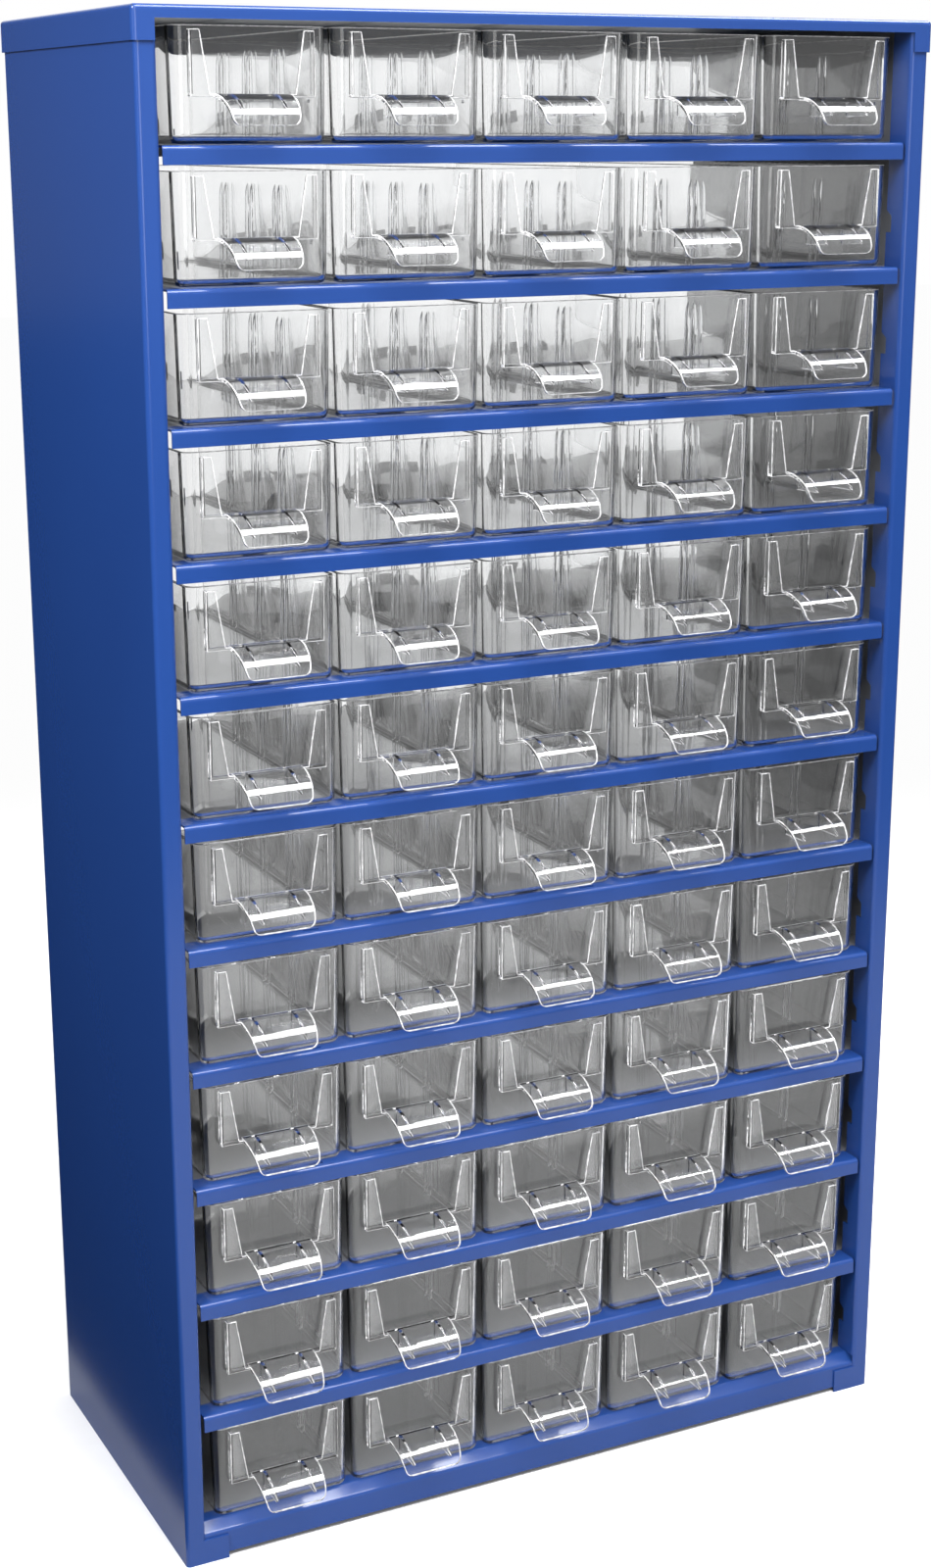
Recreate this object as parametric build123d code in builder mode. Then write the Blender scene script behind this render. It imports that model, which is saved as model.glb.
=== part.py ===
"""Parts bin cabinet: a folded sheet-steel case with clear plastic drawers.

Millimetres, +Z up, origin at the bottom centre of the whole object. The
front looks along -Y, where the drawers pull out, and the back is open.
"""
import os
from math import radians, tan

from build123d import *

os.makedirs("parts", exist_ok=True)

# ---- case -----------------------------------------------------------------
case_depth = 145.0
sheet = 0.7              # steel sheet
bend = 1.2               # bend radius, at the middle of the sheet
seam_gap = 0.1           # between two sheets that lap

cap_flange = 11.0        # how far the cap reaches down at the sides and back
cap_lip = 4.2            # the same between the two uprights
cap_tab_width = 7.6      # front corner tabs of the cap

upright_face = 7.5       # visible front of each side panel
upright_return = 11.0    # its inner flange, from the face backwards
rear_flange = 9.5        # rear edge of each side panel, turned inwards
foot_flange = 12.0       # bottom edge of each side panel, turned inwards
foot_width = 16.5        # foot tab at the bottom of each upright
foot_height = 9.6
notch_height = 8.0       # notch in the upright's inner flange, one per cell
notch_depth = 3.0
notch_slope = 2.0

# ---- grid of drawers ------------------------------------------------------
columns = 5
rows = 12
column_pitch = 56.0
row_pitch = 44.9
column_margin = 13.0     # from the outer columns' cells to the outside of the case
top_row_height = 42.7    # from the top row's floor to the top of the case
lowest_floor = 14.4      # top of the bottom floor
lip_height = 6.1         # folded front edge of a shelf
lip_end_gap = 1.2        # from the end of a lip to the upright
shelf_tuck = 0.5         # from the upright's inner flange to the shelf's shoulder
shelf_rear_fold = 5.0    # rear edge of a shelf, folded down

base_ground = 2.0        # the base lip hangs this far above the ground
base_lip_top = 11.4
base_ramp = 5.0          # the base rises over this depth to the drawers' floor

stop_width = 12.0        # rear stop tab behind each drawer
stop_height = 5.0
slot_width = 6.0         # punched slot under the front of each drawer
slot_depth = 1.6
slot_offset = 15.5       # to the right of the drawer's middle
slot_setback = 2.6       # behind the front of the lip

# ---- one drawer -----------------------------------------------------------
drawer_gap = 1.3         # between two drawers, at the rim
head_room = 2.2          # cell height that a drawer leaves free under the lip above
drawer_setback = 4.2     # its front behind the very front of the case
drawer_wall = 1.3
drawer_floor = 1.4
drawer_draft = 1.0       # degrees that the walls lean outwards
drawer_corner = 4.5      # corner radius, seen from above
drawer_edge = 2.3        # radius between walls and floor
running_gap = 0.3        # under and behind a drawer

pocket_width = 43.0      # label pocket on the front
pocket_bottom = 15.5     # its ledge, above the drawer's bottom
pocket_drop = 1.4        # from the drawer's rim down to the pocket's top
pocket_depth = 2.2       # how far it stands out of the front
pocket_sheet = 1.0
tab_top_width = 3.7      # the two leaves that hold the label
tab_bottom_width = 7.0

handle_reach = 14.0      # from the drawer's front
handle_rise = 10.0
handle_bottom = 5.6      # above the drawer's bottom
handle_sheet = 1.4
handle_top_width = 26.0
handle_low_width = 22.4
handle_corner = 2.5
gusset_spacing = 15.2
gusset_sheet = 1.1
gusset_bottom = 8.6      # above the drawer's bottom

# ---- what follows from these ----------------------------------------------
case_width = columns * column_pitch + 2 * column_margin
case_height = lowest_floor + (rows - 1) * row_pitch + top_row_height
drawer_width = column_pitch - drawer_gap
drawer_height = row_pitch - lip_height - head_room
pocket_top = drawer_height - pocket_drop
handle_overhang = handle_reach - drawer_setback
front = -(case_depth + handle_overhang) / 2 + handle_overhang
rear = front + case_depth
upright_front = front + sheet + seam_gap
upright_back = rear - sheet - seam_gap
side_outer = case_width / 2 - sheet - seam_gap
side_inner = side_outer - sheet
side_top = case_height - sheet
return_inner = side_outer - upright_face
return_back = upright_front + upright_return
lip_front = upright_front + sheet + seam_gap
lip_half = return_inner - lip_end_gap
shelf_back = upright_back - sheet - seam_gap
stop_front = shelf_back - sheet
drawer_front = front + drawer_setback
drawer_length = stop_front - running_gap - drawer_front


def column_x(column):
    """Middle of a column, counted from 1 at the left."""
    return (column - (columns + 1) / 2) * column_pitch


def floor_z(row):
    """Top of the sheet that a row's drawers stand on, row 1 at the top."""
    return lowest_floor + (rows - row) * row_pitch


def box_between(low, high, mode=Mode.ADD):
    """A box from its lowest to its highest corner, in the open part."""
    size = [b - a for a, b in zip(low, high)]
    middle = [(a + b) / 2 for a, b in zip(low, high)]
    with Locations(tuple(middle)):
        Box(*size, mode=mode)


def side_panel():
    """The left side panel: a channel that stands on its foot flange."""
    half = sheet / 2
    wall_x = -side_outer + half
    with BuildPart() as panel:
        with BuildSketch(Plane.XY):
            with BuildLine():
                FilletPolyline(
                    (-return_inner - half, return_back),
                    (-return_inner - half, upright_front + half),
                    (wall_x, upright_front + half),
                    (wall_x, upright_back - half),
                    (-side_outer + rear_flange, upright_back - half),
                    radius=bend,
                )
            trace(line_width=sheet)
        extrude(amount=side_top)
        # the inner flange gives way to the base, which reaches the side wall
        box_between(
            (-return_inner - sheet - bend, upright_front + sheet, -sheet),
            (-return_inner + sheet, return_back + sheet, lowest_floor + seam_gap),
            mode=Mode.SUBTRACT,
        )
        for row in range(2, rows + 1):
            notch_z = floor_z(row) + row_pitch / 2 - lip_height
            with BuildSketch(Plane.YZ.offset(-return_inner - 2 * sheet)):
                with BuildLine():
                    Polyline(
                        (return_back + sheet, notch_z - notch_height / 2),
                        (return_back - notch_depth, notch_z - notch_height / 2),
                        (return_back - notch_depth, notch_z + notch_height / 2 - notch_slope),
                        (return_back, notch_z + notch_height / 2),
                        (return_back + sheet, notch_z + notch_height / 2),
                        close=True,
                    )
                make_face()
            extrude(amount=3 * sheet, mode=Mode.SUBTRACT)
        # foot tab in front of the base lip, and the flange that it stands on
        box_between(
            (-side_outer + bend, upright_front, 0),
            (-side_outer + foot_width, upright_front + sheet, foot_height),
        )
        box_between(
            (-side_inner - half, upright_front + sheet, 0),
            (-side_outer + foot_flange, upright_back - sheet, sheet),
        )
    return panel.part


def shelf():
    """One shelf, with the top of its floor at z = 0."""
    half = sheet / 2
    with BuildPart() as plate:
        with BuildSketch(Plane.YZ):
            with BuildLine():
                FilletPolyline(
                    (lip_front + half, -lip_height),
                    (lip_front + half, -half),
                    (shelf_back - half, -half),
                    (shelf_back - half, -shelf_rear_fold),
                    radius=bend,
                )
            trace(line_width=sheet)
        extrude(amount=side_inner, both=True)
        for side in (-1, 1):
            # the front corner is cut back for the upright's inner flange
            low, high = sorted((side * lip_half, side * (side_inner + sheet)))
            box_between(
                (low, lip_front - sheet, -2 * lip_height),
                (high, return_back + shelf_tuck, sheet),
                mode=Mode.SUBTRACT,
            )
            # and the rear corner for the bend of its rear flange
            low, high = sorted((side * (side_inner - bend), side * (side_inner + sheet)))
            box_between(
                (low, shelf_back - sheet - bend, -2 * lip_height),
                (high, shelf_back + sheet, sheet),
                mode=Mode.SUBTRACT,
            )
            # end flange, folded down along the side wall
            low, high = sorted((side * (side_inner - sheet), side * side_inner))
            box_between(
                (low, return_back + shelf_tuck, -lip_height),
                (high, shelf_back - 2 * bend, -half),
            )
        for column in range(1, columns + 1):
            x = column_x(column)
            slot_y = lip_front + slot_setback
            box_between(
                (x + slot_offset - slot_width / 2, slot_y, -2 * sheet),
                (x + slot_offset + slot_width / 2, slot_y + slot_depth, sheet),
                mode=Mode.SUBTRACT,
            )
            box_between(
                (x - stop_width / 2, stop_front, -half),
                (x + stop_width / 2, shelf_back, stop_height),
            )
    return plate.part


def base():
    """The bottom sheet: a tray turned over, with a ramp behind its lip."""
    half = sheet / 2
    with BuildPart() as tray:
        with BuildSketch(Plane.YZ):
            with BuildLine():
                FilletPolyline(
                    (lip_front + half, base_ground),
                    (lip_front + half, base_lip_top - half),
                    (lip_front + base_ramp, lowest_floor - half),
                    (shelf_back - half, lowest_floor - half),
                    (shelf_back - half, base_ground),
                    radius=bend,
                )
            trace(line_width=sheet)
        extrude(amount=side_inner, both=True)
        for side in (-1, 1):
            # both corners are cut square, clear of the side panel's bends
            low, high = sorted((side * (side_inner - bend), side * (side_inner + sheet)))
            for y in (lip_front, shelf_back):
                box_between(
                    (low, y - sheet - bend, 0),
                    (high, y + sheet + bend, lowest_floor + sheet),
                    mode=Mode.SUBTRACT,
                )
            low, high = sorted((side * (side_inner - sheet), side * side_inner))
            box_between(
                (low, lip_front + base_ramp, base_ground),
                (high, shelf_back - sheet - bend, lowest_floor - half),
            )
        for column in range(1, columns + 1):
            x = column_x(column)
            box_between(
                (x - stop_width / 2, stop_front, lowest_floor - half),
                (x + stop_width / 2, shelf_back, lowest_floor + stop_height),
            )
    return tray.part


def cap():
    """The top: a shallow box over the side panels, with a window in front."""
    flange_low = case_height - cap_flange
    with BuildPart() as lid:
        box_between(
            (-case_width / 2, front, flange_low),
            (case_width / 2, rear, case_height),
        )
        upper = lid.faces().sort_by(Axis.Z)[-1].edges()
        corners = lid.edges().filter_by(Axis.Z)
        fillet(upper + corners, radius=bend + sheet / 2)
        box_between(
            (-case_width / 2 + sheet, front + sheet, flange_low - sheet),
            (case_width / 2 - sheet, rear - sheet, case_height - sheet),
            mode=Mode.SUBTRACT,
        )
        box_between(
            (-case_width / 2 + cap_tab_width, front - sheet, flange_low - sheet),
            (case_width / 2 - cap_tab_width, front + 2 * sheet, case_height - cap_lip),
            mode=Mode.SUBTRACT,
        )
    return lid.part


def drawer_body():
    """One drawer: front of its wall at y = 0, underside at z = 0."""
    draft_inset = drawer_height * tan(radians(drawer_draft))
    outer_width = drawer_width - 2 * draft_inset
    outer_length = drawer_length - 2 * draft_inset
    half_width = pocket_width / 2
    with BuildPart() as body:
        middle = Plane.XY.move(Location((0, drawer_length / 2, 0)))
        with BuildSketch(middle):
            RectangleRounded(outer_width, outer_length, drawer_corner - draft_inset)
        extrude(amount=drawer_height, taper=-drawer_draft)
        fillet(body.faces().sort_by(Axis.Z)[0].edges(), radius=drawer_edge)
        with BuildSketch(middle.offset(drawer_floor)):
            RectangleRounded(
                outer_width - 2 * drawer_wall,
                outer_length - 2 * drawer_wall,
                drawer_corner - drawer_wall - draft_inset,
            )
        extrude(amount=drawer_height, taper=-drawer_draft, mode=Mode.SUBTRACT)
        # label pocket: ledge and two leaves, with a slit for the card behind
        box_between(
            (-half_width, -pocket_depth, pocket_bottom - pocket_sheet),
            (half_width, drawer_wall, pocket_bottom),
        )
        for side in (-1, 1):
            with BuildSketch(Plane.XZ.offset(pocket_depth - pocket_sheet)):
                with BuildLine():
                    Polyline(
                        (side * half_width, pocket_bottom - pocket_sheet),
                        (side * half_width, pocket_top),
                        (side * (half_width - tab_top_width), pocket_top),
                        (side * (half_width - tab_bottom_width), pocket_bottom - pocket_sheet),
                        close=True,
                    )
                make_face()
            extrude(amount=pocket_sheet)
            low, high = sorted((side * half_width, side * (half_width - pocket_sheet)))
            box_between(
                (low, -pocket_depth, pocket_bottom - pocket_sheet),
                (high, drawer_wall, pocket_top),
            )
        add(handle_plate())
        add(handle_gussets())
        # what the pocket and the handle leave inside the drawer is cut away
        with BuildSketch(middle.offset(drawer_floor + drawer_edge)):
            RectangleRounded(
                outer_width - 2 * drawer_wall,
                outer_length - 2 * drawer_wall,
                drawer_corner - drawer_wall - draft_inset,
            )
        extrude(amount=drawer_height, mode=Mode.SUBTRACT)
    return body.part


def handle_plate():
    """The curved pull under the label pocket, rounded at its lower corners."""
    with BuildPart() as plate:
        with BuildSketch(Plane.YZ):
            with Locations((0, handle_bottom)):
                Ellipse(handle_reach, handle_rise)
                Ellipse(handle_reach - handle_sheet, handle_rise - handle_sheet, mode=Mode.SUBTRACT)
            with Locations((drawer_wall / 2 - handle_reach, handle_bottom + handle_rise)):
                Rectangle(2 * handle_reach, 2 * handle_rise, mode=Mode.INTERSECT)
        extrude(amount=handle_top_width / 2, both=True)
        with BuildSketch(Plane.XZ.offset(-drawer_wall)) as outline:
            with BuildLine():
                Polyline(
                    (-handle_top_width / 2, handle_bottom + handle_rise),
                    (-handle_low_width / 2, handle_bottom),
                    (handle_low_width / 2, handle_bottom),
                    (handle_top_width / 2, handle_bottom + handle_rise),
                    close=True,
                )
            make_face()
            fillet(outline.vertices().group_by(Axis.Y)[0], radius=handle_corner)
        extrude(amount=handle_reach + 2 * drawer_wall, mode=Mode.INTERSECT)
    return plate.part


def handle_gussets():
    """The two webs between the drawer's front and its pull."""
    with BuildPart() as webs:
        for side in (-1, 1):
            with BuildSketch(Plane.YZ.offset(side * gusset_spacing / 2 - gusset_sheet / 2)):
                with Locations((0, handle_bottom)):
                    Ellipse(handle_reach - handle_sheet / 2, handle_rise - handle_sheet / 2)
                with Locations((drawer_wall / 2 - handle_reach, gusset_bottom + handle_rise)):
                    Rectangle(2 * handle_reach, 2 * handle_rise, mode=Mode.INTERSECT)
            extrude(amount=gusset_sheet)
    return webs.part


# ---- case pieces ----------------------------------------------------------
left_panel = side_panel()
with BuildPart() as left_side:
    add(left_panel)
left_side.part.label = "left_side"
export_step(left_side.part, "parts/left_side.step")

with BuildPart() as right_side:
    add(mirror(left_panel, about=Plane.YZ, mode=Mode.PRIVATE))
right_side.part.label = "right_side"
export_step(right_side.part, "parts/right_side.step")

with BuildPart() as top_cap:
    add(cap())
top_cap.part.label = "top_cap"
export_step(top_cap.part, "parts/top_cap.step")

with BuildPart() as base_panel:
    add(base())
base_panel.part.label = "base_panel"
export_step(base_panel.part, "parts/base_panel.step")

one_shelf = shelf()
with BuildPart() as shelves:
    for row in range(1, rows):
        with Locations((0, 0, floor_z(row))):
            add(one_shelf)
shelves.part.label = "shelves"
export_step(shelves.part, "parts/shelves.step")

# ---- drawers --------------------------------------------------------------
# The two lowest drawers of a column share a node, because a part holds at
# most 60 nodes and this one has 60 drawers and 5 case pieces.
single_rows = rows - 2
one_drawer = drawer_body()
for column in range(1, columns + 1):
    for row in range(1, single_rows + 1):
        name = f"drawer_r{row:02d}_c{column}"
        with BuildPart() as drawer:
            with Locations((column_x(column), drawer_front, floor_z(row) + running_gap)):
                add(one_drawer)
        drawer.part.label = name
        export_step(drawer.part, f"parts/{name}.step")
    name = f"drawer_pair_c{column}"
    with BuildPart() as pair:
        for row in range(single_rows + 1, rows + 1):
            with Locations((column_x(column), drawer_front, floor_z(row) + running_gap)):
                add(one_drawer)
    pair.part.label = name
    export_step(pair.part, f"parts/{name}.step")
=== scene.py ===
# %% [markdown]
# # A parts bin cabinet
# The cabinet is a case of folded, painted sheet steel with sixty small clear
# drawers. The CAD model holds every piece at its real size, so this lesson
# starts from that fixed frame and works on what the eye sees: enamel over
# primer, and drawers moulded in clear polystyrene.

# %% Load the fixed frame
from math import asin, cos, pi, radians, sin, sqrt, tan

import bmesh
import bpy
from mathutils import Matrix, Vector


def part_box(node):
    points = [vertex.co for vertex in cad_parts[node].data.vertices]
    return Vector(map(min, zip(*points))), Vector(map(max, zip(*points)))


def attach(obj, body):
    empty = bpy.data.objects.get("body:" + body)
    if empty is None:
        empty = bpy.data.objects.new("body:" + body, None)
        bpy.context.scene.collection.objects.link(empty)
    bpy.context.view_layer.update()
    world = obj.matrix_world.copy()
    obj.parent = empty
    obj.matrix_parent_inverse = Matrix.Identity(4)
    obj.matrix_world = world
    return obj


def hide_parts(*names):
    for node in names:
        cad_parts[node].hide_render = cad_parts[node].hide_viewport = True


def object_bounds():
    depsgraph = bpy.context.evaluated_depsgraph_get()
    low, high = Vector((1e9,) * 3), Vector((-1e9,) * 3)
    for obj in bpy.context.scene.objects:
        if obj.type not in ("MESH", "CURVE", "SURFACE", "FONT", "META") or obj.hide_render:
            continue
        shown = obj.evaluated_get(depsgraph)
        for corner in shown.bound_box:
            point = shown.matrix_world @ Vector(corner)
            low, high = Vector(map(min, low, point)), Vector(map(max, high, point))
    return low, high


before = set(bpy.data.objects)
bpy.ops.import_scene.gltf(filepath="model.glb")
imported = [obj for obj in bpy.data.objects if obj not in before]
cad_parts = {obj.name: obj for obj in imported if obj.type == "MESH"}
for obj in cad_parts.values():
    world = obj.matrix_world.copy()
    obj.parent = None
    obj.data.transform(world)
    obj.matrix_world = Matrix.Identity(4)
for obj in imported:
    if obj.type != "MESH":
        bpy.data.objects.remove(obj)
cad_low, cad_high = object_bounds()
print("CAD box, metres:", [round(v, 4) for v in (*cad_low, *cad_high)])

# %% [markdown]
# ## Reading sizes from the frame
# Blender works in metres and a drawer is drawn in millimetres on paper, so
# one name, `mm`, turns one into the other. The pitch of the grid could be
# typed in, but it is measured on the CAD pieces, which keeps both in step.

# %% The grid of drawers
mm = 0.001
columns = 5
single_rows = 10
first_low, first_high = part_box("drawer_r01_c1")
second_low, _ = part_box("drawer_r02_c1")
right_low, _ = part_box("drawer_r01_c2")
row_pitch = first_low.z - second_low.z
column_pitch = right_low.x - first_low.x
print("pitch of the grid, mm:", round(row_pitch / mm, 2), round(column_pitch / mm, 2))

# %% [markdown]
# ## The camera
# The place and the turn of the camera could be found by eye. Here they were
# worked out from the corners of the case and the shelf edges, because with
# sixty drawers in a grid a small error shows at once. The camera is close to
# the height of the top, so the lower rows look steeper than the upper ones.

# %% Place the camera
camera_place = Vector((-410.8, -815.6, 513.0)) * mm
camera_turn = radians(26.52)
camera_tilt = radians(-15.16)
camera_roll = radians(-0.07)
photo_height = 1600
focal_pixels = 2464.8
sensor = 36.0
scene = bpy.context.scene


def add_object(name, data):
    """Makes an object for a mesh, lamp or camera and links it to the scene."""
    made = bpy.data.objects.new(name, data)
    scene.collection.objects.link(made)
    return made


lens = bpy.data.cameras.new("camera")
lens.sensor_width = sensor
lens.lens = focal_pixels / photo_height * sensor
camera = add_object("camera", lens)
bpy.context.scene.camera = camera
turned = Matrix.Rotation(-camera_turn, 4, "Z") @ Matrix.Rotation(pi / 2 + camera_tilt, 4, "X")
rolled = turned @ Matrix.Rotation(camera_roll, 4, "Z")
camera.matrix_world = Matrix.Translation(camera_place) @ rolled
print("lens, mm:", round(lens.lens, 2))

# %% [markdown]
# ## Writing shaders as short text
# A material is a small network of nodes. It can be wired by hand in the node
# editor, but as text it can be read, repeated and changed. A few helpers keep
# each material to some lines: one adds a node and links or fills its inputs,
# and the others are the steps that come back in every finish.

# %% Helpers for node networks
def add_node(tree, kind, inputs=None, **settings):
    """Adds a node, sets its properties, and fills or links its inputs."""
    made = tree.nodes.new(kind)
    for name, value in settings.items():
        setattr(made, name, value)
    for name, value in (inputs or {}).items():
        if isinstance(value, bpy.types.NodeSocket):
            tree.links.new(value, made.inputs[name])
        else:
            made.inputs[name].default_value = value
    return made


def new_material(name):
    """An empty node material and its tree."""
    material = bpy.data.materials.new(name)
    material.use_nodes = True
    material.node_tree.nodes.clear()
    return material, material.node_tree


def finish_material(tree, surface):
    """Links a shader to the material's output."""
    add_node(tree, "ShaderNodeOutputMaterial", {"Surface": surface})


def calculate(tree, operation, first, second=0.0):
    """One step of arithmetic as a Math node."""
    return add_node(tree, "ShaderNodeMath", {0: first, 1: second}, operation=operation).outputs[0]


# %% Helpers for patterns
def ramp_between(tree, value, low, high):
    """0 below low, 1 above high, and a soft step between them."""
    made = add_node(
        tree, "ShaderNodeMapRange", {"Value": value, "From Min": low, "From Max": high},
        interpolation_type="SMOOTHSTEP",
    )
    return made.outputs[0]


def object_place(tree):
    """The place on the object, in metres."""
    return add_node(tree, "ShaderNodeTexCoord").outputs["Object"]


def noise(tree, place, scale, detail):
    """Soft random clouds from 0 to 1, finer with a higher scale."""
    inputs = {"Vector": place, "Scale": scale, "Detail": detail}
    return add_node(tree, "ShaderNodeTexNoise", inputs).outputs["Fac"]


def bump(tree, height, strength, distance):
    """Turns a pattern of heights into a tilt of the surface."""
    inputs = {"Height": height, "Strength": strength, "Distance": distance}
    return add_node(tree, "ShaderNodeBump", inputs).outputs["Normal"]


def mix_colors(tree, share, first, second):
    """From the first colour at share 0 to the second at share 1."""
    inputs = {"Factor": share, "A": first, "B": second}
    return add_node(tree, "ShaderNodeMix", inputs, data_type="RGBA").outputs["Result"]


# %% [markdown]
# ## The floor
# The object stands on a plain pale floor that runs into a white backdrop. A
# curved sheet could be modelled, but a flat one that fades to white is simpler
# and looks alike from all sides. Glossy enamel and clear drawers show whatever
# is round them, so for mirror images and bounced light the floor is darker
# than for the eye, and darkest beside the left panel, as with black cards laid
# round an object in a studio. Without that, the blue turns pale and grey.

# %% Spread the floor
floor_size = 12.0
half_floor = floor_size / 2
floor_mesh = bpy.data.meshes.new("floor")
floor = add_object("floor", floor_mesh)
floor_corners = [(x * half_floor, y * half_floor, 0) for x, y in ((-1, -1), (1, -1), (1, 1), (-1, 1))]
floor_mesh.from_pydata(floor_corners, [], [(0, 1, 2, 3)])
print("floor, metres:", floor_size)

# %% Tell the kinds of ray apart
pale_floor, tree = new_material("pale_floor")
rays = add_node(tree, "ShaderNodeLightPath")
outside_plastic = calculate(tree, "SUBTRACT", 1.0, rays.outputs["Is Transmission Ray"])
mirrored = calculate(tree, "MULTIPLY", rays.outputs["Is Glossy Ray"], outside_plastic)
indirect = calculate(tree, "MAXIMUM", mirrored, rays.outputs["Is Diffuse Ray"])
seen = calculate(tree, "SUBTRACT", 1.0, indirect)
print("the floor's nodes so far:", len(tree.nodes))

# %% Paint the floor
fade_start, fade_end = 0.35, 1.1
floor_white = 0.98
bounce_loss = 0.55
dark_from, dark_full = cad_low.x - 0.002, cad_low.x - 0.015
dark_front, dark_front_full = -0.3, -0.2
place = object_place(tree)
distance = add_node(tree, "ShaderNodeVectorMath", {0: place}, operation="LENGTH").outputs["Value"]
tint = mix_colors(tree, noise(tree, place, 90.0, 3.0), (0.86, 0.86, 0.865, 1), (0.90, 0.90, 0.90, 1))
near = add_node(tree, "ShaderNodeBsdfDiffuse", {"Color": tint}).outputs[0]
glow = calculate(tree, "MULTIPLY", seen, floor_white)
far = add_node(tree, "ShaderNodeEmission", {"Color": (1, 1, 1, 1), "Strength": glow}).outputs[0]
away = ramp_between(tree, distance, fade_start, fade_end)
on_floor = add_node(tree, "ShaderNodeSeparateXYZ", {0: place}).outputs
left_of_case = ramp_between(tree, on_floor["X"], dark_from, dark_full)
behind_front = ramp_between(tree, on_floor["Y"], dark_front, dark_front_full)
beside_case = calculate(tree, "MULTIPLY", left_of_case, behind_front)
dark_side = calculate(tree, "MULTIPLY", beside_case, indirect)
soft_bounce = calculate(tree, "MULTIPLY", indirect, bounce_loss)
share = calculate(tree, "MAXIMUM", away, calculate(tree, "MAXIMUM", dark_side, soft_bounce))
mixed = add_node(tree, "ShaderNodeMixShader", {0: share, 1: near, 2: far})
finish_material(tree, mixed.outputs[0])
floor_mesh.materials.append(pale_floor)
print("the floor's nodes:", len(tree.nodes))

# %% [markdown]
# ## Light from the surroundings
# A studio is a room: a pale wall in front of the object, a ceiling, and a
# backdrop behind it. Walls could be built as meshes, but the world's own
# shader can say how bright each direction is, and it casts no shadows. It is
# plain white where one looks straight at it, darker overhead through the
# plastic, and darkest for mirror images away from the wall, the ceiling and
# the backdrop.

# %% How bright each direction is
least_light = 0.08
wall_start, wall_full, wall_light = -0.1, 0.6, 0.35
ceiling_start, ceiling_full, ceiling_light = 0.25, 0.85, 0.5
backdrop_edge, backdrop_full, backdrop_light = cos(radians(36)), cos(radians(28)), 0.9
world = bpy.data.worlds.new("studio")
scene.world = world
world.use_nodes = True
tree = world.node_tree
tree.nodes.clear()
direction = add_node(tree, "ShaderNodeTexCoord").outputs["Generated"]
heading = add_node(tree, "ShaderNodeSeparateXYZ", {0: direction}).outputs
backdrop_axis = (sin(camera_turn), cos(camera_turn), 0.0)
toward_backdrop = add_node(
    tree, "ShaderNodeVectorMath", {0: direction, 1: backdrop_axis}, operation="DOT_PRODUCT",
).outputs["Value"]
forward = calculate(tree, "MULTIPLY", heading["Y"], -1.0)
room_light = least_light
for along, start, full, light in (
    (forward, wall_start, wall_full, wall_light),
    (heading["Z"], ceiling_start, ceiling_full, ceiling_light),
    (toward_backdrop, backdrop_edge, backdrop_full, backdrop_light),
):
    part = calculate(tree, "MULTIPLY", ramp_between(tree, along, start, full), light)
    room_light = calculate(tree, "ADD", part, room_light)
print("the room's nodes so far:", len(tree.nodes))

# %% What the eye and the plastic see
overhead_start, overhead_full, overhead_loss = 0.15, 0.33, 0.45
rays = add_node(tree, "ShaderNodeLightPath").outputs
white_for = calculate(tree, "MAXIMUM", rays["Is Camera Ray"], rays["Is Transmission Ray"])
overhead = ramp_between(tree, heading["Z"], overhead_start, overhead_full)
through_drawers = calculate(tree, "ADD", calculate(tree, "MULTIPLY", overhead, -overhead_loss), 1.0)
seen_white = calculate(tree, "MAXIMUM", through_drawers, rays["Is Camera Ray"])
strength = add_node(tree, "ShaderNodeMix", {"Factor": white_for, "A": room_light, "B": seen_white})
backdrop = add_node(
    tree, "ShaderNodeBackground", {"Color": (1, 1, 1, 1), "Strength": strength.outputs["Result"]},
)
add_node(tree, "ShaderNodeOutputWorld", {"Surface": backdrop.outputs[0]})
print("the room's nodes:", len(tree.nodes))

# %% [markdown]
# ## Soft lamps
# Folded sheet and moulded plastic are read from the bright lines on their
# edges, and small hard lamps would give sparks in their place. So the lamps
# are wide soft boxes: one overhead draws the lines on the folds and the bands
# on the pulls, one in front lights the faces evenly, and a small one on the
# left lifts the upper front of the left panel.

# %% Hang the lamps
def softbox(name, place, aim, size, power):
    """A rectangular area lamp that looks from place to aim, in metres and watts."""
    lamp = bpy.data.lights.new(name, "AREA")
    lamp.shape = "RECTANGLE"
    lamp.size, lamp.size_y = size
    lamp.energy = power
    made = add_object(name, lamp)
    made.location = place
    made.rotation_euler = (Vector(aim) - Vector(place)).to_track_quat("-Z", "Y").to_euler()
    made.visible_camera = False
    made.visible_transmission = False


softbox("overhead", place=(0.5, -0.50, 1.75), aim=(0.1, -0.12, 0.3), size=(2.2, 0.50), power=60)
softbox("frontal", place=(-0.25, -2.7, 0.95), aim=(0, 0, 0.28), size=(1.3, 1.5), power=20)
softbox("side", place=(-0.64, -0.38, 0.82), aim=(-0.15, -0.05, 0.42), size=(0.25, 0.35), power=9)

# %% [markdown]
# ## Enough bounces
# A ray that looks into a drawer crosses two dozen plastic walls before it
# leaves the case, and each reflection inside a wall counts as one more glossy
# bounce. With the usual limits it would stop half-way and leave black streaks,
# so the limits are raised until the streaks are gone. Sharp light spots cast
# by the plastic would only add noise, so they are switched off.

# %% Set the light paths
scene.view_settings.view_transform = "Standard"
bounces = {
    "max_bounces": 56, "transmission_bounces": 48, "glossy_bounces": 32,
    "transparent_max_bounces": 64, "caustics_reflective": False, "caustics_refractive": False,
}
for setting, value in bounces.items():
    setattr(scene.cycles, setting, value)
print("light paths:", bounces)

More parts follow.
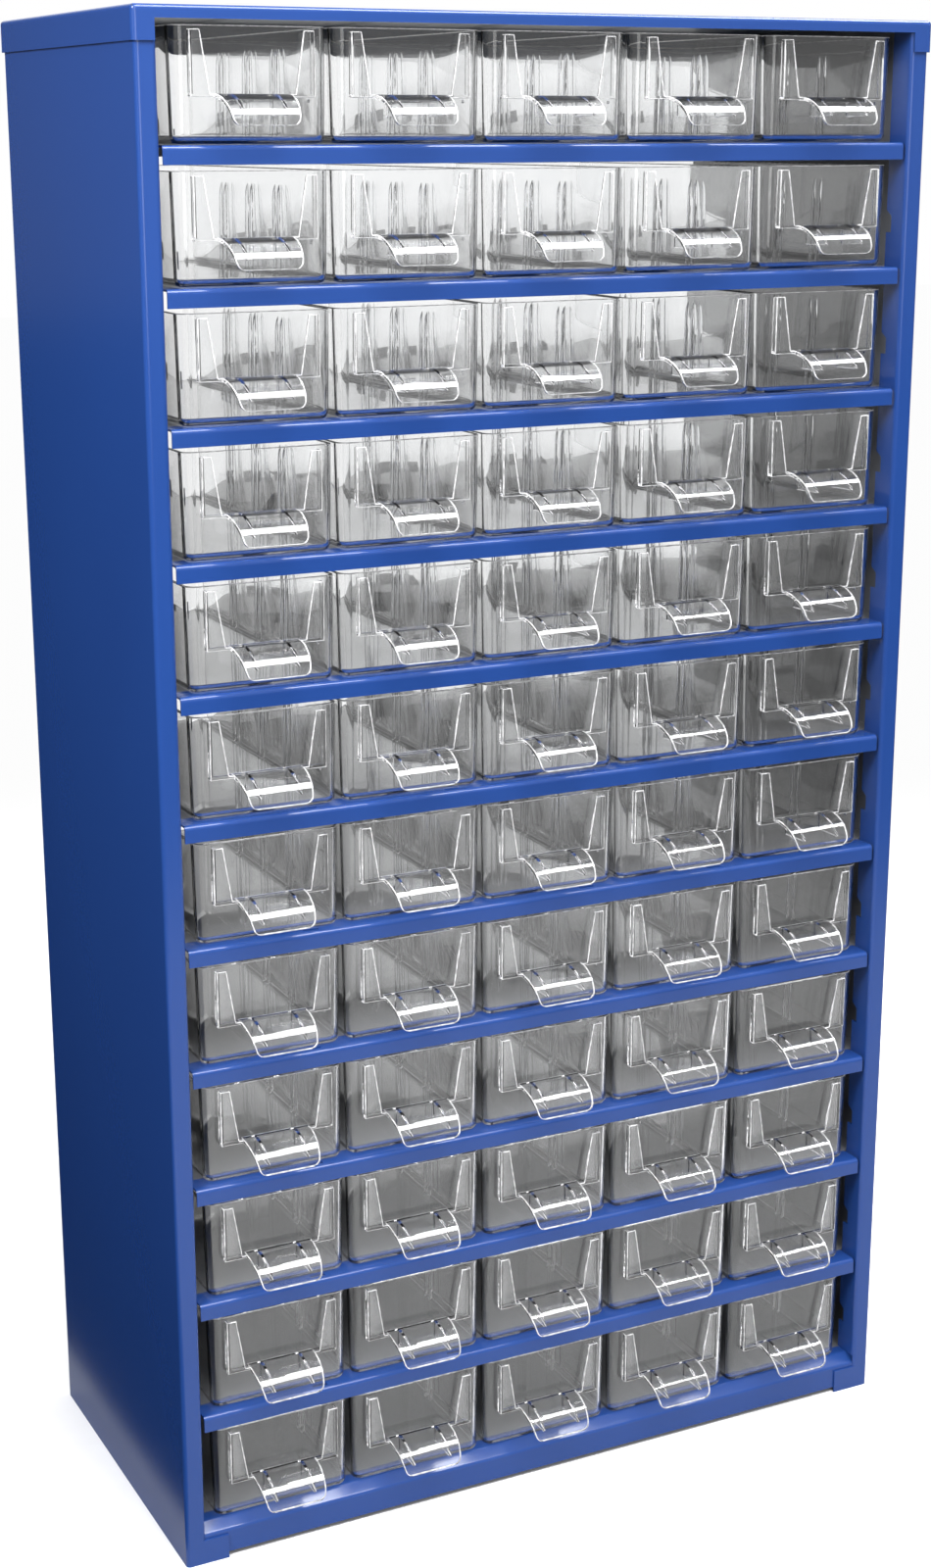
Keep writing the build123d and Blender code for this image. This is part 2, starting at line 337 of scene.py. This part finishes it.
# %% [markdown]
# ## Blue enamel over grey primer
# The sheets are primed grey and then sprayed blue from outside, so the inside
# of the case and the tops of the shelves stay grey behind the first few
# millimetres, and under the cap only a thin blue mist lands. Under the cap the
# colour is also painted far darker than the primer, as painted shade beneath the
# top. The two coats could be two materials on chosen faces, but a mask by place
# tells them apart wherever the spray really ended, with a ragged soft edge.
# Baked enamel is smooth and glossy with a faint orange peel, which a small noise
# bump gives.

# %% Mix the enamel
blue = (0.016, 0.055, 0.23, 1)
deep_blue = (0.014, 0.048, 0.205, 1)
primer = (0.125, 0.13, 0.145, 1)
dark_primer = (0.10, 0.105, 0.115, 1)
# Under the cap: a thin blue mist over primer, painted far darker than the primer as painted shade.
blue_mist_in_painted_shade = (0.03, 0.05, 0.10, 1)
grey_mist_in_painted_shade = (0.025, 0.038, 0.068, 1)
shade_scale, ragged_scale, peel_scale = 14.0, 220.0, 700.0
ragged_width = 2 * mm
enamel_gloss, gloss_change, primer_dullness = 0.14, 0.08, 0.12


def painted_steel(name, mask_of, under_light, under_dark):
    """Glossy enamel that gives way to a coat of two shades where mask_of says 1."""
    material, tree = new_material(name)
    place = object_place(tree)
    axes = add_node(tree, "ShaderNodeSeparateXYZ", {0: place}).outputs
    ragged = noise(tree, place, ragged_scale, 4.0)
    shade = noise(tree, place, shade_scale, 5.0)
    enamel = mix_colors(tree, shade, blue, deep_blue)
    under = mix_colors(tree, ragged, under_light, under_dark)
    wander = calculate(tree, "MULTIPLY", calculate(tree, "SUBTRACT", ragged, 0.5), ragged_width)
    mask = mask_of(tree, axes, wander)
    color = mix_colors(tree, mask, enamel, under)
    peel = bump(tree, noise(tree, place, peel_scale, 2.0), 0.12, 0.05 * mm)
    gloss = calculate(tree, "ADD", calculate(tree, "MULTIPLY", shade, gloss_change), enamel_gloss)
    rough = calculate(tree, "ADD", gloss, calculate(tree, "MULTIPLY", mask, primer_dullness))
    inputs = {"Base Color": color, "Roughness": rough, "Normal": peel}
    finish_material(tree, add_node(tree, "ShaderNodeBsdfPrincipled", inputs).outputs[0])
    return material


# %% [markdown]
# ## Where the blue ends
# Each kind of sheet needs its own rule for where the spray reached. A rule is
# a few ramps along the axes, multiplied together, and its sizes come from the
# CAD pieces, so it stays right when the case changes size.

# %% Rules for the masks
shelf_low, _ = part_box("shelves")
side_low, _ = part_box("left_side")
cap_low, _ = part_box("top_cap")
blue_strip = 9.0 * mm
strip_fade = 1.5 * mm
side_strip = 11 * mm
side_fade = 1 * mm
steel = 0.7 * mm
half_sheet = steel / 2
sharp = 0.1 * mm


def behind_front_strip(tree, axes, wander):
    """Shelves and base: blue only on the lip and a narrow strip behind it."""
    edge = shelf_low.y + blue_strip
    return ramp_between(tree, calculate(tree, "ADD", axes["Y"], wander), edge, edge + strip_fade)


def inside_wall(tree, axes, wander):
    """Side panels: primer on what faces the inside, behind the front face."""
    across = calculate(tree, "ABSOLUTE", axes["X"])
    inner_half = -side_low.x - half_sheet
    inward = ramp_between(tree, across, inner_half, inner_half - sharp)
    edge = side_low.y + side_strip
    back = ramp_between(tree, axes["Y"], edge, edge + side_fade)
    return calculate(tree, "MULTIPLY", inward, back)


def under_the_top(tree, axes, wander):
    """Cap: a thin blue mist, darkened as painted shade, on its underside and on the inner faces of its
    flanges.
    """
    top, side, rear = (limit - half_sheet for limit in (cad_high.z, cad_high.x, cad_high.y))
    below = ramp_between(tree, axes["Z"], top, top - sharp)
    deep = ramp_between(tree, axes["Y"], rear, rear - sharp)
    between = ramp_between(tree, calculate(tree, "ABSOLUTE", axes["X"]), side, side - sharp)
    behind = ramp_between(tree, axes["Y"], cap_low.y + half_sheet, cap_low.y + steel)
    inside = calculate(tree, "MULTIPLY", between, behind)
    return calculate(tree, "MULTIPLY", calculate(tree, "MULTIPLY", below, deep), inside)


# %% Paint the case
shelf_paint = painted_steel("shelf_enamel", behind_front_strip, primer, dark_primer)
side_paint = painted_steel("side_enamel", inside_wall, primer, dark_primer)
# The cap's inside takes the mist tones, which are painted shade as well as overspray.
cap_paint = painted_steel("cap_enamel", under_the_top, blue_mist_in_painted_shade, grey_mist_in_painted_shade)
paint_of = {
    "left_side": side_paint, "right_side": side_paint, "top_cap": cap_paint,
    "base_panel": shelf_paint, "shelves": shelf_paint,
}
for name, material in paint_of.items():
    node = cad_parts[name]
    node.data.materials.clear()
    node.data.materials.append(material)
print("painted:", ", ".join(paint_of))

# %% [markdown]
# ## Clear polystyrene
# Drawers of this kind are moulded in crystal polystyrene, which bends light
# more than window glass does. A see-through colour would be quicker, but it
# bends nothing and looks like film, so the shader is a true refracting one.
# Light would have to find its way through two dozen walls to reach a shelf,
# so for shadows alone the walls let it pass straight on. A faint waviness and
# fine scuffs, as moulded plastic has, break up the reflections.

# %% Mould the plastic
resin_color = (0.985, 0.988, 0.99, 1)
resin_bend = 1.59
shadow_color = (0.93, 0.93, 0.935, 1)


def clear_resin(tree, **finish):
    """A refracting body; finish gives its Roughness, and its Normal where it is wavy."""
    inputs = {"Base Color": resin_color, "Transmission Weight": 1.0, "IOR": resin_bend, **finish}
    return add_node(tree, "ShaderNodeBsdfPrincipled", inputs).outputs[0]


def finish_clear_material(tree, surface):
    """Ends a clear material, which rays towards a lamp cross without bending."""
    passing = add_node(tree, "ShaderNodeBsdfTransparent", {"Color": shadow_color}).outputs[0]
    to_lamp = add_node(tree, "ShaderNodeLightPath").outputs["Is Shadow Ray"]
    mixed = add_node(tree, "ShaderNodeMixShader", {0: to_lamp, 1: surface, 2: passing})
    finish_material(tree, mixed.outputs[0])


clear_plastic, tree = new_material("clear_plastic")
place = object_place(tree)
waves = bump(tree, noise(tree, place, 60.0, 1.0), 0.15, 0.2 * mm)
scuffs = ramp_between(tree, noise(tree, place, 500.0, 3.0), 0.45, 0.8)
rough = calculate(tree, "MULTIPLY", scuffs, 0.06)
finish_clear_material(tree, clear_resin(tree, Roughness=rough, Normal=waves))
print("plastic bends light by", resin_bend)

# %% [markdown]
# ## Edges that glow
# Light travels inside a clear sheet as it does in a glass fibre and leaves at
# the edges, so every edge of a moulding shows as a fine white line. The
# renderer would need far more rays to find that by itself, so the rounded edge
# faces get a painted highlight of their own: clear plastic mixed with a white
# that scatters light, in a share that changes along the edge.

# %% Mould the edges
# Share of diffuse white in the edge faces, which is a painted highlight, varying along the edge.
least_painted_glow, more_painted_glow = 0.3, 0.4
edge_plastic, tree = new_material("edge_plastic")
uneven_painted_glow = ramp_between(tree, noise(tree, object_place(tree), 400.0, 2.0), 0.35, 0.65)
share = calculate(tree, "ADD", calculate(tree, "MULTIPLY", uneven_painted_glow, more_painted_glow), least_painted_glow)
clear = clear_resin(tree, Roughness=0.05)
# The diffuse white mixed into the edges is a painted highlight.
painted_glow_white = add_node(tree, "ShaderNodeBsdfDiffuse", {"Color": (0.93, 0.93, 0.94, 1)}).outputs[0]
lit = add_node(tree, "ShaderNodeMixShader", {0: share, 1: clear, 2: painted_glow_white})
finish_clear_material(tree, lit.outputs[0])
print("white in the edges:", least_painted_glow, "to", least_painted_glow + more_painted_glow)

# %% [markdown]
# ## The tub of a drawer
# The body of a drawer is a thin-walled tub. A box with Solidify and Bevel
# would come close, but its walls would stand upright. A moulded tub is better
# seen as a stack of rounded rectangles: going up the outside, over the rim and
# down the inside, the rings follow walls that lean outwards so that the drawer
# leaves its mould. The same loop therefore makes the walls, the rounded bottom
# edges and the rim.

# %% Sizes of a drawer, in metres
wall = 1.3 * mm
floor_thickness = 1.4 * mm
draft = tan(radians(1.0))
corner = 4.5 * mm
bottom_edge = 2.3 * mm
inner_edge = 1.4 * mm
rim_edge = 0.3 * mm
drawer_width = first_high.x - first_low.x
drawer_height = first_high.z - first_low.z
handle_reach = 14.0 * mm
drawer_front = first_low.y + handle_reach
drawer_length = first_high.y - drawer_front
corner_steps = 6
edge_steps = 4
edge_angles = [step / edge_steps * pi / 2 for step in range(edge_steps + 1)]
print("drawer, mm:", [round(v / mm, 2) for v in (drawer_width, drawer_length, drawer_height)])

# %% Rings of a tub
def rounded_ring(half_x, half_y, radius, z):
    """The points of a rounded rectangle at height z, seen from above anticlockwise."""
    points = []
    for quarter, (side_x, side_y) in enumerate(((1, 1), (-1, 1), (-1, -1), (1, -1))):
        for step in range(corner_steps + 1):
            angle = (quarter + step / corner_steps) * pi / 2
            points.append(Vector((
                side_x * (half_x - radius) + radius * cos(angle),
                side_y * (half_y - radius) + radius * sin(angle),
                z,
            )))
    return points


def wall_face(z):
    """How far the outer face at height z stands back from the rim, because of the draft."""
    return (drawer_height - z) * draft


def wall_ring(z, inset):
    """A ring of the leaning wall at height z, moved inwards by inset."""
    lean = wall_face(z) + inset
    return rounded_ring(drawer_width / 2 - lean, drawer_length / 2 - lean, corner - lean, z)


def edge_rings(z, inset, radius):
    """Rings round the fillet between a floor at height z and the wall, going up."""
    return [
        wall_ring(z + radius * (1 - cos(angle)), inset + radius * (1 - sin(angle)))
        for angle in edge_angles
    ]


# %% From rings to an object
def bridge_rings(shape, rings, bright_rings=()):
    """Joins a stack of rings into one closed skin. Faces above a bright ring get the edge finish, a painted
    highlight.
    """
    loops = [[shape.verts.new(point) for point in ring] for ring in rings]
    count = len(loops[0])
    for number, (lower, upper) in enumerate(zip(loops, loops[1:])):
        for i in range(count):
            j = (i + 1) % count
            face = shape.faces.new((lower[i], lower[j], upper[j], upper[i]))
            face.material_index = 1 if number in bright_rings else 0
    shape.faces.new(loops[0][::-1])
    shape.faces.new(loops[-1])


def make_object(name, shape):
    """Turns a bmesh into a linked object."""
    bmesh.ops.recalc_face_normals(shape, faces=shape.faces)
    mesh = bpy.data.meshes.new(name)
    shape.to_mesh(mesh)
    shape.free()
    mesh.materials.append(clear_plastic)
    mesh.materials.append(edge_plastic)
    return add_object(name, mesh)


# %% Make the tub
def rim_height(climb):
    """Height of a ring of the rim, from climb 0 where its rounding starts to 1 at the top."""
    return drawer_height - rim_edge * (1 - climb)


outside_of_rim = [wall_ring(rim_height(sin(a)), rim_edge * (1 - cos(a))) for a in edge_angles]
inside_of_rim = [wall_ring(rim_height(cos(a)), wall - rim_edge * (1 - sin(a))) for a in edge_angles]
rings = [
    *edge_rings(0, 0, bottom_edge), *outside_of_rim, *inside_of_rim,
    *reversed(edge_rings(floor_thickness, wall, inner_edge)),
]
outer_rim = range(edge_steps + 1, 2 * edge_steps + 1)
inner_rim = range(2 * edge_steps + 2, 3 * edge_steps + 2)
shape = bmesh.new()
bridge_rings(shape, rings, (*outer_rim, *inner_rim))
tub = make_object("tub", shape)
tub.data.transform(Matrix.Translation((0, drawer_length / 2, 0)))
print("tub faces:", len(tub.data.polygons))

# %% [markdown]
# ## Divider ribs
# Inside both long walls stand three pairs of thin ribs, which taper to a point
# below the rim. A divider card slides down between the two of a pair. They
# could be copied by hand or with an Array modifier, but they are all alike and
# evenly spaced in two steps, so Geometry Nodes place them: a short line of
# points makes a pair, and a longer line makes the three pairs.

# %% A helper for Geometry Nodes
def start_tree(name, numbers):
    """A geometry tree with a mesh input, a material input and named numbers."""
    tree = bpy.data.node_groups.new(name, "GeometryNodeTree")
    tree.interface.new_socket("Geometry", in_out="INPUT", socket_type="NodeSocketGeometry")
    for label, kind in numbers.items():
        tree.interface.new_socket(label, in_out="INPUT", socket_type=kind)
    tree.interface.new_socket("Material", in_out="INPUT", socket_type="NodeSocketMaterial")
    tree.interface.new_socket("Geometry", in_out="OUTPUT", socket_type="NodeSocketGeometry")
    return tree, tree.nodes.new("NodeGroupInput").outputs


def line_of(tree, piece, **line):
    """Copies of a piece on a straight line of points. Start_Location is the input Start Location."""
    points = add_node(tree, "GeometryNodeMeshLine", {k.replace("_", " "): v for k, v in line.items()})
    copies = add_node(tree, "GeometryNodeInstanceOnPoints", {"Points": points.outputs[0], "Instance": piece})
    return copies.outputs[0]


def end_tree(tree, start, geometry):
    """Realizes the instances, sets the material on all but the bright edges and ends the tree."""
    real = add_node(tree, "GeometryNodeRealizeInstances", {0: geometry})
    index = add_node(tree, "GeometryNodeInputMaterialIndex").outputs[0]
    body = calculate(tree, "LESS_THAN", index, 0.5)
    colored = add_node(
        tree, "GeometryNodeSetMaterial",
        {"Geometry": real.outputs[0], "Selection": body, "Material": start["Material"]},
    )
    add_node(tree, "NodeGroupOutput", {0: colored.outputs[0]})


def run_tree(source, tree, name, values):
    """Evaluates the tree on a source object and returns a plain mesh object."""
    modifier = source.modifiers.new(tree.name, "NODES")
    modifier.node_group = tree
    sockets = {item.name: item.identifier for item in tree.interface.items_tree if item.in_out == "INPUT"}
    for label, value in values.items():
        modifier[sockets[label]] = value
    evaluated = source.evaluated_get(bpy.context.evaluated_depsgraph_get())
    mesh = bpy.data.meshes.new_from_object(evaluated)
    mesh.name = name
    source.modifiers.remove(modifier)
    return add_object(name, mesh)


# %% One rib
rib_width = 1.1 * mm
rib_reach = 1.2 * mm
rib_top = drawer_height - 5.5 * mm
rib_taper = 5.0 * mm
rib_root = 0.5 * mm
rib_foot = floor_thickness - 0.4 * mm
rib_sections = (
    (rib_foot, 1.0), (rib_top - rib_taper, 0.95), (rib_top - rib_taper / 2, 0.75),
    (rib_top - rib_taper / 5, 0.42), (rib_top, 0.1),
)
half_profile = ((-rib_root, 0.5), (0.0, 0.5), (0.75, 0.42), (0.95, 0.25))
profile = [(out, -across) for out, across in half_profile] + [(1.0, 0.0)] + list(reversed(half_profile))
loops = []
for z, size in rib_sections:
    inner_face = drawer_width / 2 - wall_face(z) - wall
    loop = []
    for out, across in profile:
        reach = out if out < 0 else out * rib_reach * size
        loop.append(Vector((inner_face - reach, across * rib_width * size, z)))
    loops.append(loop)
shape = bmesh.new()
bridge_rings(shape, loops)
one_rib = make_object("one_rib", shape)
print("faces of a rib:", len(one_rib.data.polygons))

# %% Repeat it on both walls
rib_tree, start = start_tree("Divider Ribs", {
    "Groups": "NodeSocketInt", "Group Pitch": "NodeSocketFloat", "First Group": "NodeSocketFloat",
    "Ribs": "NodeSocketInt", "Rib Pitch": "NodeSocketFloat",
})
first_place, group_step, rib_step = (
    add_node(rib_tree, "ShaderNodeCombineXYZ", {"Y": start[label]}).outputs[0]
    for label in ("First Group", "Group Pitch", "Rib Pitch")
)
group = line_of(rib_tree, start["Geometry"], Count=start["Ribs"], Offset=rib_step)
groups = line_of(rib_tree, group, Count=start["Groups"], Start_Location=first_place, Offset=group_step)
end_tree(rib_tree, start, groups)
group_pitch = 25.4 * mm
rib_pitch = 4.0 * mm
ribs = run_tree(one_rib, rib_tree, "ribs", {
    "Groups": 3, "Group Pitch": group_pitch, "First Group": drawer_length / 2 - group_pitch - rib_pitch / 2,
    "Ribs": 2, "Rib Pitch": rib_pitch, "Material": clear_plastic,
})
other_side = add_object("other_ribs", ribs.data.copy())
other_side.data.transform(Matrix.Scale(-1, 4, (1, 0, 0)))
other_side.data.flip_normals()
print("ribs on a wall:", len(ribs.data.polygons) // len(one_rib.data.polygons))

# %% [markdown]
# ## The label pocket
# A card with the contents' name slides in from above behind two slanted
# leaves and stands on a narrow ledge. The pocket could be cut from one block;
# thin plates are closer to the real moulding, and a bevel of a quarter of a
# millimetre, with the painted highlight of the edge finish, gives their edges
# the line of light that makes clear plastic readable.

# %% Plates with light-catching edges
edge_light = 0.28 * mm


def apply_modifiers(made):
    """Bakes the modifiers of an object into its mesh."""
    evaluated = made.evaluated_get(bpy.context.evaluated_depsgraph_get())
    mesh = bpy.data.meshes.new_from_object(evaluated)
    made.modifiers.clear()
    made.data = mesh
    return made


def soft_edges(made):
    """Rounds the sharp edges of a small moulded plate and gives them the edge finish, a painted highlight.
    """
    bevel = made.modifiers.new("bevel", "BEVEL")
    bevel.width = edge_light
    bevel.segments = 2
    bevel.limit_method = "ANGLE"
    bevel.angle_limit = radians(35)
    bevel.use_clamp_overlap = True
    bevel.material = 1
    return apply_modifiers(made)


def moulded(name, sections):
    """A closed piece from a row of outlines, with soft edges."""
    shape = bmesh.new()
    bridge_rings(shape, sections)
    return soft_edges(make_object(name, shape))


def plate(name, outline, low, high):
    """A plate between two depths, from an outline of (x, z) points seen from the front."""
    return moulded(name, [[Vector((x, depth, z)) for x, z in outline] for depth in (low, high)])


# %% Ledge and leaves
pocket_half = 21.5 * mm
pocket_low, pocket_high = 14.5 * mm, 35.2 * mm
pocket_depth = 2.2 * mm
pocket_sheet = 1.0 * mm
leaf_top, leaf_bottom = 3.7 * mm, 7.0 * mm
wall_sink = 0.6 * mm


def box_outline(left, right, low, high):
    """Corner points of an upright rectangle."""
    return [(left, low), (right, low), (right, high), (left, high)]


pocket = [plate(
    "ledge", box_outline(-pocket_half, pocket_half, pocket_low, pocket_low + pocket_sheet),
    -pocket_depth, wall_face(pocket_low) + wall_sink,
)]
for side in (-1, 1):
    outer = side * pocket_half
    leaf = [
        (outer, pocket_low), (outer - side * leaf_bottom, pocket_low),
        (outer - side * leaf_top, pocket_high), (outer, pocket_high),
    ]
    pocket.append(plate("leaf", leaf, -pocket_depth, -pocket_depth + pocket_sheet))
    left, right = sorted((outer, outer - side * pocket_sheet))
    pocket.append(plate(
        "leaf_return", box_outline(left, right, pocket_low, pocket_high),
        -pocket_depth, wall_face(pocket_high) + wall_sink,
    ))
print("pocket plates:", len(pocket))

# %% [markdown]
# ## The pull
# The pull is a plate bent to a quarter of an ellipse, which starts under the
# ledge and curves out and down. A curve with a flat bevel would do for the
# bend, but not for its rounded lower corners. So the plate is a stack of
# cross-sections along the curve, and their width shrinks towards the lower
# edge.

# %% Bend the pull
pull_rise = 10.0 * mm
pull_low = 5.6 * mm
pull_sheet = 1.4 * mm
pull_top_half, pull_low_half = 13.0 * mm, 11.2 * mm
pull_corner = 2.5 * mm
pull_steps = 20
crowding = 1.2
full_curve = pi / 2


def pull_half_width(height):
    """Half the pull's width at a height above its lower edge."""
    straight = pull_low_half + (pull_top_half - pull_low_half) * height / pull_rise
    if height >= pull_corner:
        return straight
    return straight - pull_corner + sqrt(pull_corner ** 2 - (pull_corner - height) ** 2)


def pull_section(angle):
    """Cross-section of the pull where the curve has turned by angle from its lower edge."""
    height = pull_rise * sin(angle)
    half = pull_half_width(height)
    inner_depth = (handle_reach - pull_sheet) * cos(angle)
    inner_height = (pull_rise - pull_sheet) * sin(angle)
    back = wall_sink if angle >= full_curve else 0
    outside = (back - handle_reach * cos(angle), pull_low + height)
    inside = (back - inner_depth, pull_low + inner_height)
    corners = ((-half, outside), (half, outside), (half, inside), (-half, inside))
    return [Vector((x, depth, z)) for x, (depth, z) in corners]


sections = [pull_section(full_curve * (step / pull_steps) ** crowding) for step in range(pull_steps + 1)]
root = [point + Vector((0, wall_face(pull_low) + wall_sink, 0)) for point in sections[-1]]
pull = moulded("pull", [*sections, root])
print("pull faces:", len(pull.data.polygons))

# %% [markdown]
# ## The two webs
# Two webs brace the pull against the front. Seen through the pull they are
# two bright arcs. They could be straight plates cut to shape, but their outer
# edge has to follow the pull, so it is worked out from the same ellipse, in
# the middle of the pull's sheet. The union below takes the overlap away.

# %% Brace the pull
web_spacing = 15.2 * mm
web_sheet = 1.1 * mm
web_low = 8.6 * mm
web_steps = 10
middle_rise = pull_rise - pull_sheet / 2
middle_reach = handle_reach - pull_sheet / 2


def web(middle):
    """A web with the pull's own curve, from the drawer's front to the pull."""
    start_angle = asin((web_low - pull_low) / middle_rise)
    curve = []
    for step in range(web_steps + 1):
        angle = start_angle + (full_curve - start_angle) * step / web_steps
        curve.append((-middle_reach * cos(angle), pull_low + middle_rise * sin(angle)))
    back = wall_face(pull_low) + wall_sink
    outline = [(back, web_low), *curve, (back, curve[-1][1])]
    sides = (middle - web_sheet / 2, middle + web_sheet / 2)
    return moulded("web", [[Vector((x, depth, z)) for depth, z in outline] for x in sides])


webs = [web(side * web_spacing / 2) for side in (-1, 1)]
print("faces of a web:", len(webs[0].data.polygons))

# %% [markdown]
# ## The gate mark
# Melted plastic enters the mould through a small hole, and a dimple or a
# pimple stays there. It could be left to a bump in the material, but as a
# half-sunk ball it catches the light from every side.

# %% Add the gate mark
gate_radius = 0.55 * mm
gate_side, gate_height = 20.0 * mm, 13.4 * mm
shape = bmesh.new()
bmesh.ops.create_uvsphere(shape, u_segments=10, v_segments=6, radius=gate_radius)
bmesh.ops.translate(shape, verts=shape.verts, vec=(gate_side, wall_face(gate_height), gate_height))
gate_mark = make_object("gate_mark", shape)
print("gate mark, mm:", 2 * gate_radius / mm)

# %% [markdown]
# ## One moulding
# A real drawer leaves its mould in one piece, so no wall may show inside
# another: each would bend the light once more. The pieces could be joined as
# they are, but only boolean unions take the hidden walls away. They leave long
# thin faces, on which plain smooth shading would draw dark wedges, so each
# corner takes the normal of the widest flat wall that meets there, and only
# the rounded places stay smooth.

# %% Keep flat walls flat
flat_area = 60 * mm * mm
smooth_angle = radians(35)


def flatten_walls(mesh):
    """Gives each corner the normal of the widest plane that meets it within the angle."""
    planes = {}
    keys = []
    for polygon in mesh.polygons:
        key = tuple(round(v, 3) for v in (*polygon.normal, polygon.normal.dot(polygon.center) / mm))
        keys.append(key)
        planes[key] = planes.get(key, 0.0) + polygon.area
    around = {}
    for polygon in mesh.polygons:
        for vertex in polygon.vertices:
            around.setdefault(vertex, []).append(polygon.index)
    normals = []
    for polygon in mesh.polygons:
        polygon.use_smooth = True
        for vertex in polygon.vertices:
            near = [
                i for i in around[vertex]
                if mesh.polygons[i].normal.angle(polygon.normal, 0) < smooth_angle
            ]
            widest = max(planes[keys[i]] for i in near)
            chosen = [i for i in near if planes[keys[i]] == widest] if widest > flat_area else near
            total = sum((mesh.polygons[i].normal * mesh.polygons[i].area for i in chosen), Vector())
            normals.append(total.normalized())
    mesh.normals_split_custom_set(normals)


# %% Fuse the drawer
def unite(target, parts):
    """Adds closed parts to a closed target and removes them. The solver works in millimetres."""
    for made in (target, *parts):
        made.data.transform(Matrix.Scale(1 / mm, 4))
    for part in parts:
        union = target.modifiers.new("union", "BOOLEAN")
        union.operation = "UNION"
        union.solver = "MANIFOLD"
        union.object = part
        apply_modifiers(target)
        bpy.data.objects.remove(part)
    target.data.transform(Matrix.Scale(mm, 4))
    return target


drawer = unite(tub, [ribs, other_side, *pocket, pull, *webs, gate_mark])
flatten_walls(drawer.data)
bpy.data.objects.remove(one_rib)
check = bmesh.new()
check.from_mesh(drawer.data)
print("drawer: faces", len(check.faces), "open edges", sum(not e.is_manifold for e in check.edges))
print("volume, cm3:", round(check.calc_volume() * 1e6, 2))
check.free()

# %% [markdown]
# ## Sixty drawers
# The same moulding fills the whole grid. It could be linked sixty times, but
# each CAD body needs a plain mesh of its own that slides with it, and the two
# lowest drawers of a column share a body. One small tree therefore hangs a
# number of copies below each other and takes them to their place.

# %% A column of drawers
column_tree, start = start_tree("Drawers in a Column", {
    "Drawers": "NodeSocketInt", "Row Pitch": "NodeSocketFloat", "First Place": "NodeSocketVector",
})
drop = calculate(column_tree, "MULTIPLY", start["Row Pitch"], -1.0)
row_step = add_node(column_tree, "ShaderNodeCombineXYZ", {"Z": drop}).outputs[0]
copies = line_of(
    column_tree, start["Geometry"],
    Count=start["Drawers"], Start_Location=start["First Place"], Offset=row_step,
)
end_tree(column_tree, start, copies)
print("nodes of the column:", len(column_tree.nodes))

# %% Place the drawers
def place_drawers(body, count):
    """Stands count drawers where the CAD node of that body is."""
    low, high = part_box(body)
    top_bottom = high.z - drawer_height
    made = run_tree(drawer, column_tree, "clear_" + body, {
        "Drawers": count, "Row Pitch": row_pitch, "Material": clear_plastic,
        "First Place": ((low.x + high.x) / 2, drawer_front, top_bottom),
    })
    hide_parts(body)
    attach(made, body)


for column in range(1, columns + 1):
    for row in range(1, single_rows + 1):
        place_drawers(f"drawer_r{row:02d}_c{column}", 1)
    place_drawers(f"drawer_pair_c{column}", 2)
bpy.data.objects.remove(drawer)
print("drawers placed:", columns * (single_rows + 2))
